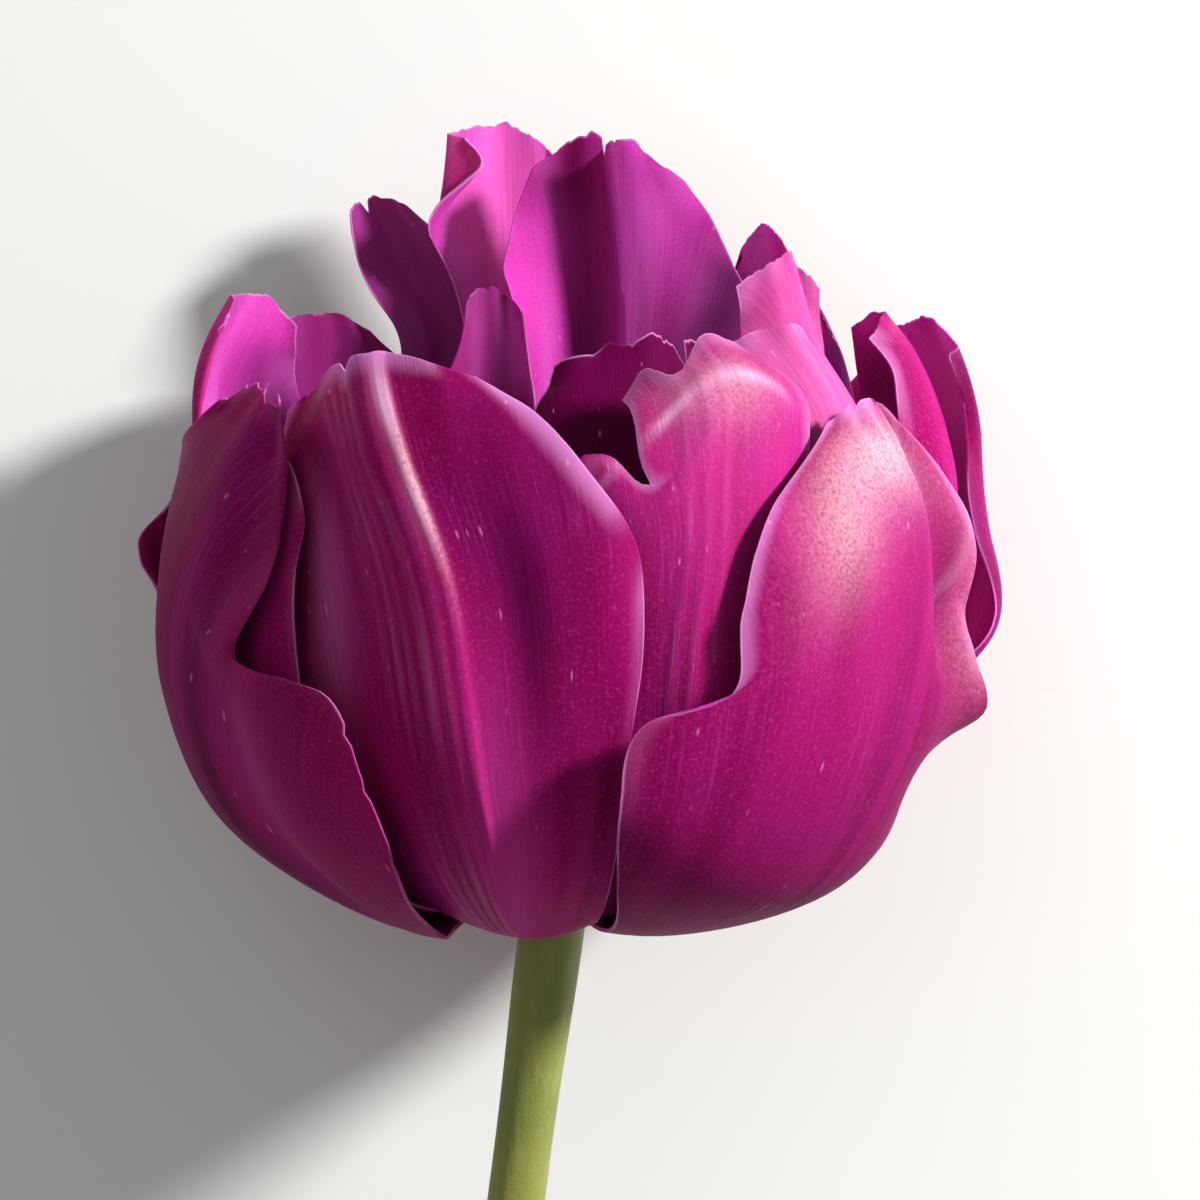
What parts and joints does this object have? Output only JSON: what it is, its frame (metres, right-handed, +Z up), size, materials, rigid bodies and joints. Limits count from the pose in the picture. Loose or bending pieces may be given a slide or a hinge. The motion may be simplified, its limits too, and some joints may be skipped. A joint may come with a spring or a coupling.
{
  "type": "cut parrot prince tulip",
  "caption": "Cut double tulip lying down: a ragged round bloom of layered petals, its pistil and stamens, a bare round stem and two clasping leaves.",
  "frame": {"origin": "on the table, under the middle of the whole flower's box", "axes": "+Z up from the table, +Y along the flower from the cut end of the stem towards the bloom, +X across it"},
  "size_m": [0.1486, 0.3094, 0.0894],
  "materials": {
    "petal": "satin petal, magenta purple with fine lengthwise streaks",
    "stem": "matt green stem with a faint waxy bloom",
    "leaf": "waxy blue-green leaf with parallel veins",
    "pistil": "pale yellow-green pistil with dark stamens"
  },
  "bodies": {
    "root": {"leaf_lower": "leaf", "leaf_upper": "leaf", "petal_back_low_left": "petal", "petal_back_tall": "petal", "petal_back_tall_left": "petal", "petal_inner_back_left": "petal", "petal_inner_front": "petal", "petal_inner_left": "petal", "petal_inner_right": "petal", "petal_outer_back": "petal", "petal_outer_front": "petal", "petal_outer_left": "petal", "petal_outer_left_back": "petal", "petal_outer_right": "petal", "petal_outer_right_back": "petal", "petal_second_back": "petal", "petal_second_front": "petal", "petal_second_front_right": "petal", "petal_second_left": "petal", "petal_second_left_back": "petal", "petal_second_right": "petal", "petal_third_front": "petal", "petal_third_left": "petal", "petal_third_right": "petal", "petal_third_right_back": "petal", "petal_under_left": "petal", "pistil_and_stamens": "pistil", "stem": "stem"}
  },
  "joints": []
}
